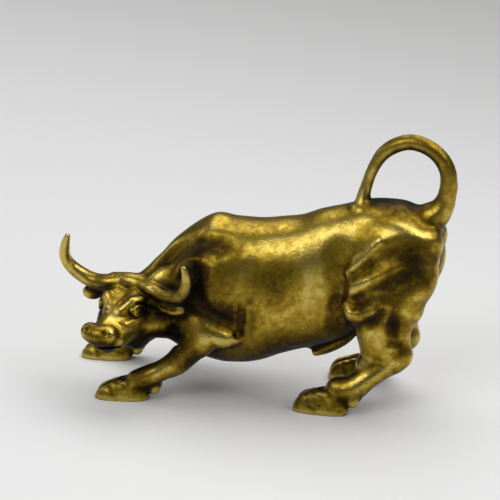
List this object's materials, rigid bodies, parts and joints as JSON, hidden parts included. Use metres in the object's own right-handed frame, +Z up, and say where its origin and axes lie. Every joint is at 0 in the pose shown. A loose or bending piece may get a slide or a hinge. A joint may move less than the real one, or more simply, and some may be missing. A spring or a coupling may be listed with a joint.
{
  "type": "bull figurine",
  "caption": "Cast metal bull standing on splayed legs, head low and turned to one side, crescent horns, tail curled up into a closed ring.",
  "frame": {"origin": "centre of the bounding box's base, on the floor between the hooves", "axes": "+X from head to tail, +Y to the bull's right side, +Z up from the soles"},
  "size_m": [0.1403, 0.0557, 0.0987],
  "materials": {
    "brass": "satin, with darkened recesses"
  },
  "bodies": {
    "root": {"bull": "brass"}
  },
  "joints": []
}
